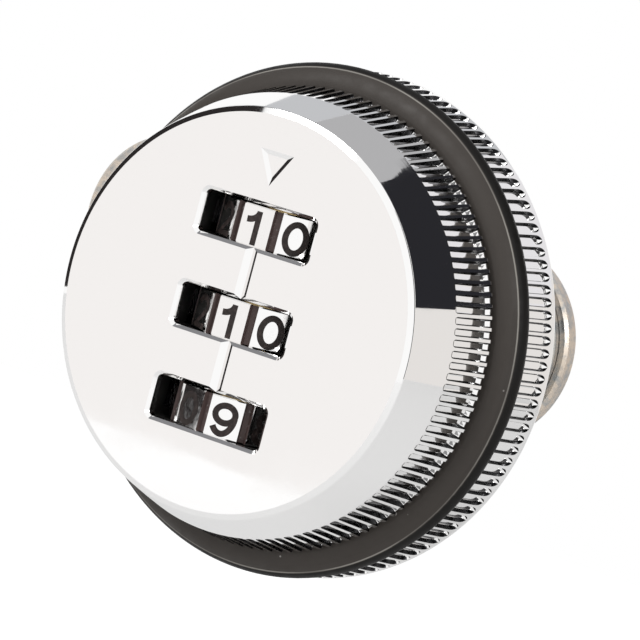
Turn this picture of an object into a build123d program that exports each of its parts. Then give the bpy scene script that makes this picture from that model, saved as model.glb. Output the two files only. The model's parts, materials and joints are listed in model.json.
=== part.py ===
from build123d import *
import math
import os

# Combination locker lock with a turning knob and three number dials.
# Millimetres. The lock's axis is Y: the face looks along -Y and the barrel runs back along +Y.
# The origin is the centre of the seat that bears on the front of the door. +Z is up, +X is right.

# Knob shell
face_radius = 18.0
face_depth = 16.8  # from the face to the panel seat
face_edge_run = 0.5
face_edge_drop = 0.25
band_length = 4.5
band_flare = 1.6
knob_length = 9.4
knob_flare = 1.1
knob_rear_edge = 0.3
shell_wall = 1.0
shell_side_wall = 1.2  # behind the face's edge

# Knurls
rib_count = 128
knob_groove_half_angle = 42.0
flange_groove_half_angle = 36.0
knob_groove_depth = 0.42
knob_groove_runout = 0.9
flange_groove_depth = 0.42
flange_groove_runout = 1.1
flange_plain_rim = 0.9
groove_overcut = 0.06
groove_start = 0.01
groove_run_past = 0.2

# Face details
window_length = 12.2
window_height = 3.8
window_corner = 0.5
window_bevel = 0.3
window_lift = 0.1  # of each window over its dial
index_width = 1.25
index_depth = 0.45
index_overlap = 0.1
arrow_width = 3.5
arrow_height = 3.05
arrow_top = 14.45
arrow_depth = 0.3
arrow_slope = 0.4

# Number dials
dial_pitch = 8.4
middle_dial_height = -0.7
dial_radius = 6.2
dial_height = 3.5
dial_recess = 0.25
dial_axis_x = -0.5
dial_digits = 10
dial_rest_turn = 2.5  # of the upper two dials past their click
dial_groove_mouth = 1.2
dial_groove_rise = 0.5  # from the dial's surface to the mouth
dial_groove_floor = 0.45
dial_groove_depth = 0.45
dial_edge = 0.1
bay_clearance = 0.25
dial_bay_end_gap = 0.15

# Code sleeves and the axle
axle_radius = 1.5
axle_end_gap = 1.1
axle_clearance = 0.05
sleeve_bay_clearance = 0.4
sleeve_hub_radius = 3.0
sleeve_fit = 0.04
sleeve_flange_radius = 4.6
sleeve_flange_height = 0.8
sleeve_end_gap = 0.1
key_width = 0.8
key_height = 0.6
key_clearance = 0.05
gate_width = 2.4
gate_inner_radius = 3.1
gate_overcut = 0.1

# Locking slide
slide_travel = 2.8
tooth_height = 0.9
tooth_width = 2.0
tooth_tip_radius = 3.4
tooth_wheel_gap = 0.6
tooth_flange_gap = 0.55
tooth_root = 0.5
slide_thickness = 2.0
slide_dial_gap = 0.3
slide_clearance = 0.1
slide_front_reach = 3.25
slide_bottom_margin = 0.55
slide_top_margin = 0.055
slide_pocket_margin = 1.4
slide_pocket_rear = 1.7
slide_pin_radius = 0.7
slide_pin_rise = 1.3  # above the top dial's middle
slide_pin_hold = 3.0

# Dial carrier
carrier_clearance = 0.1
carrier_rear_gap = 0.2
hub_root = 0.5
boss_radius = 2.0
boss_inset = 1.0
boss_angle = 28.0
boss_reach = 6.8
screw_radius = 1.2
screw_clearance = 0.1
screw_bite = 0.05
screw_hole_end = 1.0
screw_slot_depth = 0.6
screw_slot_width = 0.6
screw_head_radius = 2.2
screw_head_height = 1.45
screw_head_sink = 1.7
screw_reach = 4.5
hub_radius = 4.1
hub_reach = 1.6
hub_gap = 0.15
hub_pin_radius = 0.7
hub_pin_y = 0.2
hub_pin_inset = 0.1

# Detent spring
spring_thickness = 0.3
spring_back_gap = 0.06
spring_back = 1.8
spring_tip_gap = 0.1
spring_strip_width = 1.6
spring_finger_width = 2.4
spring_finger_reach = 2.0
spring_bump_half = 1.75

# Guide plate under the carrier
plate_clearance = 0.7
plate_thickness = 1.1
plate_carrier_gap = 0.2
plate_slot_clearance = 0.15
plate_pin_depth = 0.8
plate_screw_inset = 4.0
plate_screw_angles = (110, 200, 290)
plate_screw_radius = 0.95
plate_screw_head = 1.9
plate_screw_reach = 1.2

# Rear flange and rubber ring
flange_floor = 1.5
flange_length = 4.8
flange_overhang = 1.8  # past the knob's rear edge
flange_flare = 0.5
flange_rim_round = 0.6
recess_clearance = 0.5
spigot_wall = 2.2
knob_running_gap = 0.3
ring_proud = 0.5
ring_slope_drop = 2.2
ring_shoulder_length = 0.75
ring_shoulder_drop = 0.55
ring_shoulder_swell = 0.1
ring_crest_length = 0.7
ring_tuck = 0.3

# Barrel, nut and panel washer
barrel_radius = 9.5
barrel_flat_cut = 1.5
barrel_length = 27.0
barrel_nose_length = 4.0
barrel_nose_step = 0.5
barrel_chamfer = 0.5
barrel_press = 0.02
flats_start = 0.6
thread_start = 1.2
thread_pitch = 1.5
thread_depth = 0.45
thread_crest = 0.4
relief_length = 0.8
relief_depth = 0.2
relief_slope = 0.2
spindle_bore_radius = 4.0
nut_wall = 2.5
nut_thickness = 5.0
nut_chamfer_share = 0.6
panel_gap = 5.5
washer_thickness = 1.0
washer_rim = 3.1
washer_teeth = 16
washer_tooth_depth = 1.2
washer_tooth_gap = 1.2
nut_clearance = 0.05

# Spindle, cam and rear screw
spindle_clearance = 0.08
tenon_width = 5.0
tenon_depth = 3.3
spindle_square = 5.5
square_clearance = 0.05
thrust_washer_thickness = 0.5
thrust_washer_inset = 0.2
cam_gap = 0.1
cam_thickness = 2.0
cam_hub_overhang = 0.2
cam_taper = 0.3
cam_reach = 38.1
cam_lean = 1.3
cam_edge = 0.3
spindle_short = 0.1
rear_washer_thickness = 1.2
rear_washer_radius = 5.0
rear_washer_split = 0.8
rear_screw_radius = 2.0
rear_screw_depth = 8.0
rear_screw_flats = 7.0
rear_screw_head = 2.8

# Sizes and places worked out from the sizes above
band_radius = face_radius + band_flare
knob_rear_radius = band_radius + knob_flare
shell_bore_radius = face_radius - shell_side_wall
carrier_radius = shell_bore_radius - carrier_clearance
recess_radius = carrier_radius + recess_clearance
plate_radius = recess_radius - plate_clearance
plate_screw_circle = plate_radius - plate_screw_inset
spigot_radius = recess_radius + spigot_wall
flange_front_radius = knob_rear_radius + flange_overhang
flange_rear_radius = flange_front_radius + flange_flare
ring_peak_radius = flange_front_radius + ring_proud
ring_front_radius = ring_peak_radius - ring_slope_drop
boss_circle = shell_bore_radius - boss_radius - boss_inset
boss_x = boss_circle * math.cos(math.radians(boss_angle))
boss_z = boss_circle * math.sin(math.radians(boss_angle))
barrel_flat = barrel_radius - barrel_flat_cut
barrel_nose_radius = barrel_radius - barrel_nose_step
thread_end = barrel_length - barrel_nose_length - relief_length - relief_slope
washer_radius = barrel_radius + washer_rim
nut_across_flats = 2 * (barrel_radius + nut_wall)
thrust_washer_radius = barrel_nose_radius - thrust_washer_inset
cam_hub_radius = barrel_radius + cam_hub_overhang
cam_tip_radius = cam_hub_radius - cam_taper
face_y = -face_depth
inner_face_y = face_y + shell_wall
band_end_y = face_y + band_length
knob_rear_y = face_y + knob_length
ring_front_y = knob_rear_y + knob_running_gap
flange_front_y = -flange_length
recess_floor_y = -flange_floor
plate_front_y = recess_floor_y - plate_thickness
carrier_rear_y = plate_front_y - plate_carrier_gap
dial_axis_y = face_y + dial_recess + dial_radius
dial_heights = {
    "top": middle_dial_height + dial_pitch,
    "middle": middle_dial_height,
    "bottom": middle_dial_height - dial_pitch,
}
# Angle of digit 0 from the front, towards +X. The upper dials show 1 at the index.
# The bottom one stands between 9 and 0.
dial_step = 360 / dial_digits
dial_phases = {
    "top": dial_step + dial_rest_turn,
    "middle": dial_step + dial_rest_turn,
    "bottom": -0.45 * dial_step,
}
bay_half = dial_height / 2 + dial_bay_end_gap
bay_radius = dial_radius + bay_clearance
tooth_rest = dial_height / 2 + tooth_wheel_gap
flange_rest = tooth_rest + tooth_height + tooth_flange_gap
sleeve_top = dial_pitch - bay_half - sleeve_end_gap
slide_inner_x = dial_axis_x + dial_radius + slide_dial_gap
slide_outer_x = slide_inner_x + slide_thickness
slide_pin_x = slide_inner_x + slide_thickness / 2
slide_bottom = dial_heights["bottom"] + tooth_rest - slide_bottom_margin
slide_top = dial_heights["top"] + tooth_rest + tooth_height + slide_top_margin
slide_pin_height = dial_heights["top"] + slide_pin_rise
slide_front_y = dial_axis_y - slide_front_reach
slide_rear_y = carrier_rear_y - carrier_rear_gap
channel_top = slide_top + slide_travel + slide_clearance
channel_bottom = slide_bottom - 2 * slide_clearance
sleeve_bay_radius = sleeve_flange_radius + sleeve_bay_clearance
sleeve_bay_top = dial_heights["top"] + sleeve_top + 2 * sleeve_end_gap
cam_front_y = barrel_length + thrust_washer_thickness + cam_gap
cam_rear_y = cam_front_y + cam_thickness
spindle_end_y = cam_rear_y - spindle_short
rear_washer_end_y = cam_rear_y + rear_washer_thickness
nut_front_y = panel_gap + washer_thickness


def block(x0, x1, y0, y1, z0, z1):
    """Box between two opposite corners."""
    centre = ((x0 + x1) / 2, (y0 + y1) / 2, (z0 + z1) / 2)
    return Pos(*centre) * Box(x1 - x0, y1 - y0, z1 - z0)


def rod_y(radius, y0, y1, x=0.0, z=0.0):
    """Cylinder along the lock's axis."""
    along = (Align.CENTER, Align.CENTER, Align.MIN)
    return Pos(x, y0, z) * Rot(-90, 0, 0) * Cylinder(radius, y1 - y0, align=along)


def rod_z(radius, z0, z1, x=0.0, y=0.0):
    """Upright cylinder, as the dials and their axle are."""
    along = (Align.CENTER, Align.CENTER, Align.MIN)
    return Pos(x, y, z0) * Cylinder(radius, z1 - z0, align=along)


def turned(points):
    """Solid of revolution about the lock's axis from (radius, y) points."""
    face = make_face(Polyline(*points, close=True))
    return revolve(face, Axis.Y)


def prism_y(outline, y0, y1):
    """Flat outline with points (x, z) made solid between two depths."""
    face = make_face(outline)
    return Pos(0, y0, 0) * Rot(90, 0, 0) * Pos(0, 0, y0 - y1) * extrude(face, y1 - y0)


def knurl_groove(stations, half_angle):
    """One groove tool on the +X side from (y, bottom radius, top radius) stations."""
    spread = math.tan(math.radians(half_angle))
    sections = []
    for y, bottom, top in stations:
        half = (top - bottom) * spread
        corners = [(bottom, y, 0), (top, y, half), (top, y, -half)]
        sections.append(make_face(Polyline(*corners, close=True)))
    return loft(sections, ruled=True)


def knurled(body, stations, half_angle):
    """Cut the groove all round a body."""
    tool = knurl_groove(stations, half_angle)
    tools = [Rot(0, 360 * i / rib_count, 0) * tool for i in range(rib_count)]
    return body - tools


def window_cut(z):
    """Dial window with round corners and a bevel at the face."""
    sketch = RectangleRounded(window_length, window_height, window_corner)
    flared = RectangleRounded(
        window_length + 2 * window_bevel,
        window_height + 2 * window_bevel,
        window_corner + window_bevel,
    )
    on_face = Plane(origin=(0, face_y, z), x_dir=(1, 0, 0), z_dir=(0, 1, 0))
    below = Plane(origin=(0, face_y + window_bevel, z), x_dir=(1, 0, 0), z_dir=(0, 1, 0))
    bevel = loft([on_face * flared, below * sketch], ruled=True)
    start = Plane(origin=(0, face_y - window_bevel, z), x_dir=(1, 0, 0), z_dir=(0, 1, 0))
    through = extrude(start * sketch, 2 * shell_wall + window_bevel)
    return [through, bevel]


def index_line(low, high):
    """Upright V groove in the face between two windows."""
    half = index_width / 2
    section = Polyline((-half, face_y), (half, face_y), (0, face_y + index_depth), close=True)
    return Pos(0, 0, low) * extrude(make_face(section), high - low)


def arrow_cut():
    """Arrow recessed in the face, with sloping sides."""
    corners = [(-arrow_width / 2, arrow_top), (arrow_width / 2, arrow_top), (0, arrow_top - arrow_height)]
    outline = make_face(Polyline(*corners, close=True))
    floor = offset(outline, -arrow_slope, kind=Kind.INTERSECTION)
    on_face = Plane(origin=(0, face_y, 0), x_dir=(1, 0, 0), z_dir=(0, -1, 0))
    below = Plane(origin=(0, face_y + arrow_depth, 0), x_dir=(1, 0, 0), z_dir=(0, -1, 0))
    return loft([on_face * outline, below * floor], ruled=True)


def make_knob_shell():
    bevel_y = face_y + face_edge_drop
    shell = turned(
        [
            (0, face_y),
            (face_radius - face_edge_run, face_y),
            (face_radius, bevel_y),
            (band_radius, band_end_y),
            (knob_rear_radius, knob_rear_y - knob_rear_edge),
            (knob_rear_radius - knob_rear_edge, knob_rear_y),
            (shell_bore_radius, knob_rear_y),
            (shell_bore_radius, inner_face_y),
            (0, inner_face_y),
        ]
    )
    slope = (knob_rear_radius - band_radius) / (knob_rear_y - knob_rear_edge - band_end_y)
    runout_y = band_end_y + knob_groove_runout
    runout_radius = band_radius + slope * knob_groove_runout
    past_y = knob_rear_y + groove_run_past
    past_radius = band_radius + slope * (past_y - band_end_y)
    shell = knurled(
        shell,
        [
            (band_end_y, band_radius + groove_start, band_radius + 2 * groove_overcut),
            (runout_y, runout_radius - knob_groove_depth, runout_radius + groove_overcut),
            (past_y, past_radius - knob_groove_depth, past_radius + groove_overcut),
        ],
        knob_groove_half_angle,
    )
    for x in (-boss_x, boss_x):
        for z in (-boss_z, boss_z):
            shell += rod_y(boss_radius, inner_face_y, inner_face_y + boss_reach, x, z)
            hole_front = inner_face_y + boss_reach - screw_reach - screw_hole_end
            shell -= rod_y(screw_radius + screw_bite, hole_front, inner_face_y + boss_reach + 1, x, z)
    heights = sorted(z + window_lift for z in dial_heights.values())
    for z in heights:
        shell -= window_cut(z)
    for low, high in zip(heights, heights[1:]):
        line_bottom = low + window_height / 2 - index_overlap
        line_top = high - window_height / 2 + index_overlap
        shell -= index_line(line_bottom, line_top)
    return shell - arrow_cut()


def make_dial(name):
    """Number ring with a groove between digits and ten inner notches for the sleeve's key."""
    z = dial_heights[name]
    low = z - dial_height / 2
    high = z + dial_height / 2
    ring = rod_z(dial_radius, low, high)
    rims = ring.edges().filter_by(GeomType.CIRCLE)
    ring = chamfer(rims, dial_edge)
    bore = sleeve_hub_radius + sleeve_fit
    ring -= rod_z(bore, low - 1, high + 1)
    outside = dial_radius + dial_groove_rise
    floor = dial_radius - dial_groove_depth
    mouth_half = dial_groove_mouth / 2
    floor_half = dial_groove_floor / 2
    corners = [
        (-mouth_half, -outside),
        (mouth_half, -outside),
        (floor_half, -floor),
        (-floor_half, -floor),
    ]
    groove = Pos(0, 0, low - 1) * extrude(make_face(Polyline(*corners, close=True)), dial_height + 2)
    notch_half = key_width / 2 + key_clearance
    notch_top = sleeve_hub_radius + key_height + key_clearance
    notch = block(-notch_half, notch_half, -notch_top, 0, low - 1, high + 1)
    phase = dial_phases[name]
    cuts = []
    for i in range(dial_digits):
        cuts.append(Rot(0, 0, phase + dial_step * (i + 0.5)) * groove)
        cuts.append(Rot(0, 0, phase + dial_step * i) * notch)
    return Pos(dial_axis_x, dial_axis_y, 0) * (ring - cuts)


def make_sleeve(name):
    """Code sleeve: hub through the dial, key, and a gated flange above it."""
    z = dial_heights[name]
    low = z - bay_half
    flange_low = z + flange_rest
    sleeve = rod_z(sleeve_hub_radius, low, z + sleeve_top)
    sleeve += rod_z(sleeve_flange_radius, flange_low, flange_low + sleeve_flange_height)
    key_low = z - dial_height / 2
    key_half = key_width / 2
    key_front = -sleeve_hub_radius - key_height
    key = block(-key_half, key_half, key_front, 0, key_low, key_low + dial_height)
    sleeve += Rot(0, 0, dial_phases[name]) * key
    sleeve -= rod_z(axle_radius + axle_clearance, low - 1, z + sleeve_top + 1)
    gate_far = sleeve_flange_radius + 1
    gate_half = gate_width / 2
    gate_low = flange_low - gate_overcut
    gate_high = flange_low + sleeve_flange_height + gate_overcut
    sleeve -= block(gate_inner_radius, gate_far, -gate_half, gate_half, gate_low, gate_high)
    return Pos(dial_axis_x, dial_axis_y, 0) * sleeve


def make_dial_axle():
    reach = shell_bore_radius - axle_end_gap
    return rod_z(axle_radius, -reach, reach, dial_axis_x, dial_axis_y)


def make_locking_slide():
    """Upright bar beside the dials with one tooth for each sleeve."""
    slide = block(slide_inner_x, slide_outer_x, slide_front_y, slide_rear_y, slide_bottom, slide_top)
    slide -= block(
        slide_inner_x - 1,
        slide_outer_x + 1,
        dial_axis_y + tooth_width,
        slide_rear_y - slide_pocket_rear,
        slide_bottom + slide_pocket_margin,
        dial_heights["middle"] - slide_pocket_margin,
    )
    for z in dial_heights.values():
        tooth_low = z + tooth_rest
        slide += block(
            dial_axis_x + tooth_tip_radius,
            slide_inner_x + tooth_root,
            dial_axis_y - tooth_width / 2,
            dial_axis_y + tooth_width / 2,
            tooth_low,
            tooth_low + tooth_height,
        )
    pin_front = slide_rear_y - slide_pin_hold
    return slide - rod_y(slide_pin_radius, pin_front, slide_rear_y + 1, slide_pin_x, slide_pin_height)


def make_slide_pin():
    tip = plate_front_y + plate_pin_depth
    return rod_y(slide_pin_radius, slide_rear_y - slide_pin_hold, tip, slide_pin_x, slide_pin_height)


def spring_places():
    """Middle line of the spring's finger in plan, from the strip to the free end."""
    back_x = dial_axis_x - dial_radius - spring_back
    tip_x = dial_axis_x - dial_radius - spring_tip_gap - spring_thickness * 0.75
    return [
        (back_x, dial_axis_y + spring_bump_half + spring_finger_reach + spring_strip_width),
        (back_x, dial_axis_y + spring_bump_half),
        (tip_x, dial_axis_y),
        (back_x + spring_thickness, dial_axis_y - spring_bump_half),
    ]


def make_detent_spring():
    """Leaf with a common strip and one bent finger for each dial."""
    line = spring_places()
    finger = trace(Polyline(*line), spring_thickness)
    back_x = line[0][0]
    strip_rear = line[0][1]
    low = dial_heights["bottom"] - spring_finger_width / 2
    high = dial_heights["top"] + spring_finger_width / 2
    half = spring_thickness / 2
    spring = block(back_x - half, back_x + half, strip_rear - spring_strip_width, strip_rear, low, high)
    for z in dial_heights.values():
        spring += Pos(0, 0, z - spring_finger_width / 2) * extrude(finger, spring_finger_width)
    return spring


def make_dial_carrier():
    """Cast core that carries the dials, the slide and the spring, with the spindle's hub behind."""
    body = rod_y(carrier_radius, inner_face_y, carrier_rear_y)
    body += rod_y(hub_radius, carrier_rear_y - hub_root, hub_reach)
    cuts = []
    for z in dial_heights.values():
        left = dial_axis_x - bay_radius
        right = window_length / 2 + bay_clearance
        cuts.append(rod_z(bay_radius, z - bay_half, z + bay_half, dial_axis_x, dial_axis_y))
        cuts.append(block(left, right, inner_face_y - 1, dial_axis_y, z - bay_half, z + bay_half))
    low = dial_heights["bottom"] - bay_half
    cuts.append(rod_z(sleeve_bay_radius, low, sleeve_bay_top, dial_axis_x, dial_axis_y))
    left = dial_axis_x - sleeve_bay_radius
    right = dial_axis_x + sleeve_bay_radius
    cuts.append(block(left, right, inner_face_y - 1, dial_axis_y, low, sleeve_bay_top))
    axle_low = -shell_bore_radius + axle_end_gap
    cuts.append(rod_z(axle_radius, axle_low, shell_bore_radius + 1, dial_axis_x, dial_axis_y))
    channel_left = slide_inner_x - slide_clearance
    channel_right = slide_outer_x + slide_clearance
    channel_front = slide_front_y - slide_clearance
    channel_rear = carrier_rear_y + 1
    cuts.append(
        block(channel_left, channel_right, channel_front, channel_rear, channel_bottom, channel_top)
    )
    tooth_half = tooth_width / 2 + bay_clearance
    cuts.append(
        block(
            dial_axis_x + tooth_tip_radius,
            channel_left + slide_clearance,
            dial_axis_y - tooth_half,
            dial_axis_y + tooth_half,
            channel_bottom,
            channel_top,
        )
    )
    line = spring_places()
    spring_left = line[0][0] - spring_thickness / 2 - spring_back_gap
    spring_end = spring_finger_width / 2 + spring_back_gap
    cuts.append(
        block(
            spring_left,
            dial_axis_x - dial_radius + 1,
            line[3][1] - 2 * spring_thickness,
            line[0][1] + spring_back_gap,
            dial_heights["bottom"] - spring_end,
            dial_heights["top"] + spring_end,
        )
    )
    boss_end = inner_face_y + boss_reach
    for x in (-boss_x, boss_x):
        for z in (-boss_z, boss_z):
            boss_hole = boss_radius + carrier_clearance
            head_hole = screw_head_radius + screw_clearance
            head_seat = carrier_rear_y - screw_head_sink
            cuts.append(rod_y(boss_hole, inner_face_y - 1, boss_end + carrier_clearance, x, z))
            cuts.append(rod_y(screw_radius + screw_clearance, boss_end - 1, carrier_rear_y + 1, x, z))
            cuts.append(rod_y(head_hole, head_seat, carrier_rear_y + 1, x, z))
    socket_half = tenon_width / 2 + square_clearance
    socket_front = -tenon_depth - square_clearance
    cuts.append(block(-socket_half, socket_half, socket_front, hub_reach + 1, -socket_half, socket_half))
    cuts.append(Pos(0, hub_pin_y, 0) * Rot(0, 90, 0) * Cylinder(hub_pin_radius, 4 * hub_radius))
    return body - cuts


def make_knob_screws():
    """Four pan-head screws from the carrier's back into the shell's bosses."""
    screws = []
    seat = carrier_rear_y - screw_head_sink
    tip = inner_face_y + boss_reach - screw_reach
    for x in (-boss_x, boss_x):
        for z in (-boss_z, boss_z):
            top = seat + screw_head_height
            half = screw_slot_width / 2
            reach = screw_head_radius
            head = rod_y(screw_head_radius, seat, top, x, z)
            slot = block(x - reach, x + reach, top - screw_slot_depth, top + 1, z - half, z + half)
            screws.append(head + rod_y(screw_radius, tip, seat, x, z) - slot)
    return Compound(children=screws)


def make_drive_spindle():
    """Tenon in the hub, round shaft through the barrel, square for the cam and a tapped end."""
    half = tenon_width / 2
    spindle = rod_y(spindle_bore_radius - spindle_clearance, hub_reach, cam_front_y)
    spindle += block(-half, half, -tenon_depth, hub_reach, -half, half)
    square_half = spindle_square / 2
    spindle += block(-square_half, square_half, cam_front_y, spindle_end_y, -square_half, square_half)
    tapped_end = spindle_end_y - rear_screw_depth - screw_hole_end
    spindle -= rod_y(rear_screw_radius + square_clearance, tapped_end, spindle_end_y + 1)
    spindle -= Pos(0, hub_pin_y, 0) * Rot(0, 90, 0) * Cylinder(hub_pin_radius, 4 * hub_radius)
    return spindle


def make_hub_pin():
    return Pos(0, hub_pin_y, 0) * Rot(0, 90, 0) * Cylinder(hub_pin_radius, 2 * (hub_radius - hub_pin_inset))


def slide_pin_path(angle):
    """Where the slide's pin stands over the guide plate once the knob has turned by an angle."""
    height = slide_pin_height + slide_travel * angle / 90
    turn = math.radians(angle)
    x = slide_pin_x * math.cos(turn) + height * math.sin(turn)
    z = -slide_pin_x * math.sin(turn) + height * math.cos(turn)
    return x, z


def guide_slot():
    """Curved slot that draws the slide outwards evenly over a quarter turn."""
    half = slide_pin_radius + plate_slot_clearance
    sides = {1: [], -1: []}
    steps = 9
    for i in range(steps + 1):
        angle = 90 * i / steps
        x, z = slide_pin_path(angle)
        ahead = slide_pin_path(angle + 0.01)
        back = slide_pin_path(angle - 0.01)
        dx = ahead[0] - back[0]
        dz = ahead[1] - back[1]
        size = math.hypot(dx, dz)
        for side in sides:
            sides[side].append((x - side * half * dz / size, z + side * half * dx / size))
        if i == 0:
            start = (x - half * dx / size, z - half * dz / size)
        end = (x + half * dx / size, z + half * dz / size)
    outline = [
        Spline(*sides[1]),
        ThreePointArc(sides[1][-1], end, sides[-1][-1]),
        Spline(*sides[-1]),
        ThreePointArc(sides[1][0], start, sides[-1][0]),
    ]
    return prism_y(outline, plate_front_y - 1, recess_floor_y + 1)


def plate_screw_places():
    for angle in plate_screw_angles:
        turn = math.radians(angle)
        yield plate_screw_circle * math.cos(turn), plate_screw_circle * math.sin(turn)


def countersunk(x, z, grow):
    """Countersunk screw form, or its hole when grown."""
    head = plate_screw_head + grow
    shank = plate_screw_radius + grow
    drop = head - shank
    tip = plate_front_y + plate_screw_reach + plate_thickness + grow
    neck = plate_front_y + drop
    profile = [(0, plate_front_y), (head, plate_front_y), (shank, neck), (shank, tip), (0, tip)]
    return Pos(x, 0, z) * turned(profile)


def make_guide_plate():
    plate = rod_y(plate_radius, plate_front_y, recess_floor_y)
    plate -= rod_y(hub_radius + 2 * hub_gap, plate_front_y - 1, recess_floor_y + 1)
    plate -= guide_slot()
    for x, z in plate_screw_places():
        plate -= countersunk(x, z, square_clearance)
    return plate


def make_guide_plate_screws():
    return Compound(children=[countersunk(x, z, 0) for x, z in plate_screw_places()])


def make_rear_flange():
    rim_radius = flange_rear_radius - flange_rim_round
    flange = turned(
        [
            (barrel_radius + barrel_press, 0),
            (rim_radius, 0),
            (flange_rear_radius - 0.2 * flange_rim_round, -0.3 * flange_rim_round),
            (flange_rear_radius, -flange_rim_round),
            (flange_front_radius, flange_front_y),
            (spigot_radius, flange_front_y),
            (spigot_radius, ring_front_y),
            (recess_radius, ring_front_y),
            (recess_radius, recess_floor_y),
            (barrel_radius + barrel_press, recess_floor_y),
        ]
    )
    slope = (flange_rear_radius - flange_front_radius) / (flange_length - flange_rim_round)
    start_y = flange_front_y - groove_run_past
    start_radius = flange_front_radius - slope * groove_run_past
    runout_y = -flange_plain_rim - flange_groove_runout
    runout_radius = flange_front_radius + slope * (runout_y - flange_front_y)
    end_y = -flange_plain_rim
    end_radius = flange_front_radius + slope * (end_y - flange_front_y)
    flange = knurled(
        flange,
        [
            (start_y, start_radius - flange_groove_depth, start_radius + groove_overcut),
            (runout_y, runout_radius - flange_groove_depth, runout_radius + groove_overcut),
            (end_y, end_radius + groove_start, end_radius + 2 * groove_overcut),
        ],
        flange_groove_half_angle,
    )
    for x, z in plate_screw_places():
        flange -= countersunk(x, z, square_clearance)
    return flange


def make_rubber_ring():
    """Rubber band on the flange's spigot: a sloping front, a round crest and a tucked rear edge."""
    front = (ring_front_radius, ring_front_y)
    shoulder = (ring_peak_radius - ring_shoulder_drop, ring_front_y + ring_shoulder_length)
    crest = (ring_peak_radius, flange_front_y - ring_crest_length)
    tuck = (ring_peak_radius - ring_tuck, flange_front_y)
    front_swell = (
        (front[0] + shoulder[0]) / 2 + ring_shoulder_swell,
        (front[1] + shoulder[1]) / 2 - 1.5 * ring_shoulder_swell,
    )
    crest_swell = (ring_peak_radius - ring_shoulder_drop / 4, (shoulder[1] + crest[1]) / 2)
    tuck_swell = (ring_peak_radius - ring_tuck / 4, flange_front_y - ring_tuck)
    outline = [
        Line((spigot_radius, ring_front_y), front),
        ThreePointArc(front, front_swell, shoulder),
        ThreePointArc(shoulder, crest_swell, crest),
        ThreePointArc(crest, tuck_swell, tuck),
        Line(tuck, (spigot_radius, flange_front_y)),
        Line((spigot_radius, flange_front_y), (spigot_radius, ring_front_y)),
    ]
    return revolve(make_face(outline), Axis.Y)


def make_barrel():
    """Tube through the door, with rings for its thread, two flats, a relief and a plain nose."""
    relief_radius = barrel_nose_radius - relief_depth
    relief_end = thread_end + relief_length
    turns = int((thread_end - thread_start) / thread_pitch)
    profile = [(spindle_bore_radius, recess_floor_y), (barrel_radius, recess_floor_y)]
    for i in range(turns):
        crest_end = thread_start + i * thread_pitch
        profile.append((barrel_radius, crest_end))
        profile.append((barrel_radius - thread_depth, crest_end + (thread_pitch - thread_crest) / 2))
        profile.append((barrel_radius, crest_end + thread_pitch - thread_crest))
    profile += [
        (barrel_radius, thread_end - relief_slope),
        (relief_radius, thread_end),
        (relief_radius, relief_end),
        (barrel_nose_radius, relief_end + relief_slope),
        (barrel_nose_radius, barrel_length - barrel_chamfer),
        (barrel_nose_radius - barrel_chamfer, barrel_length),
        (spindle_bore_radius, barrel_length),
    ]
    body = turned(profile)
    body -= rod_y(hub_radius + hub_gap, recess_floor_y - 1, hub_reach + 2 * hub_gap)
    wide = 2 * barrel_radius
    for low, high in ((barrel_flat, wide), (-wide, -barrel_flat)):
        body -= block(-wide, wide, flats_start, barrel_length + 1, low, high)
    return body


def make_panel_washer():
    """Toothed lock washer under the nut."""
    washer = rod_y(washer_radius, panel_gap, nut_front_y)
    washer -= rod_y(barrel_radius + nut_clearance, panel_gap - 1, nut_front_y + 1)
    root = washer_radius - washer_tooth_depth
    half = washer_tooth_gap / 2
    tool = block(root, washer_radius + 1, panel_gap - 1, nut_front_y + 1, -half, half)
    return washer - [Rot(0, 360 * i / washer_teeth, 0) * tool for i in range(washer_teeth)]


def hexagon_y(across_flats, y0, y1):
    corner = across_flats / math.sqrt(3)
    face = RegularPolygon(corner, 6)
    return Pos(0, y0, 0) * Rot(-90, 0, 0) * extrude(face, y1 - y0)


def make_panel_nut():
    end = nut_front_y + nut_thickness
    nut = hexagon_y(nut_across_flats, nut_front_y, end)
    corner = nut_across_flats / math.sqrt(3)
    flat = nut_across_flats / 2
    drop = (corner - flat) * nut_chamfer_share
    envelope = turned(
        [
            (0, nut_front_y),
            (flat, nut_front_y),
            (corner, nut_front_y + drop),
            (corner, end - drop),
            (flat, end),
            (0, end),
        ]
    )
    nut &= envelope
    return nut - rod_y(barrel_radius + nut_clearance, nut_front_y - 1, end + 1)


def make_thrust_washer():
    end = barrel_length + thrust_washer_thickness
    washer = rod_y(thrust_washer_radius, barrel_length, end)
    return washer - rod_y(spindle_bore_radius, barrel_length - 1, end + 1)


def make_cam_plate():
    """Flat cam: a round hub, a long arm with parallel-looking sides and a fully rounded end."""
    taper = math.asin((cam_hub_radius - cam_tip_radius) / cam_reach)
    across = (math.sin(taper), math.cos(taper))
    hub_top = (-cam_hub_radius * across[0], cam_hub_radius * across[1])
    tip_top = (-cam_reach - cam_tip_radius * across[0], cam_tip_radius * across[1])
    hub_low = (hub_top[0], -hub_top[1])
    tip_low = (tip_top[0], -tip_top[1])
    outline = [
        Line(hub_top, tip_top),
        ThreePointArc(tip_top, (-cam_reach - cam_tip_radius, 0), tip_low),
        Line(tip_low, hub_low),
        ThreePointArc(hub_low, (cam_hub_radius, 0), hub_top),
    ]
    cam = prism_y(outline, cam_front_y, cam_rear_y)
    cam = chamfer(cam.edges().filter_by(Plane.XZ), cam_edge)
    cam = Rot(0, cam_lean, 0) * cam
    half = spindle_square / 2 + square_clearance
    return cam - block(-half, half, cam_front_y - 1, cam_rear_y + 1, -half, half)


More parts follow.
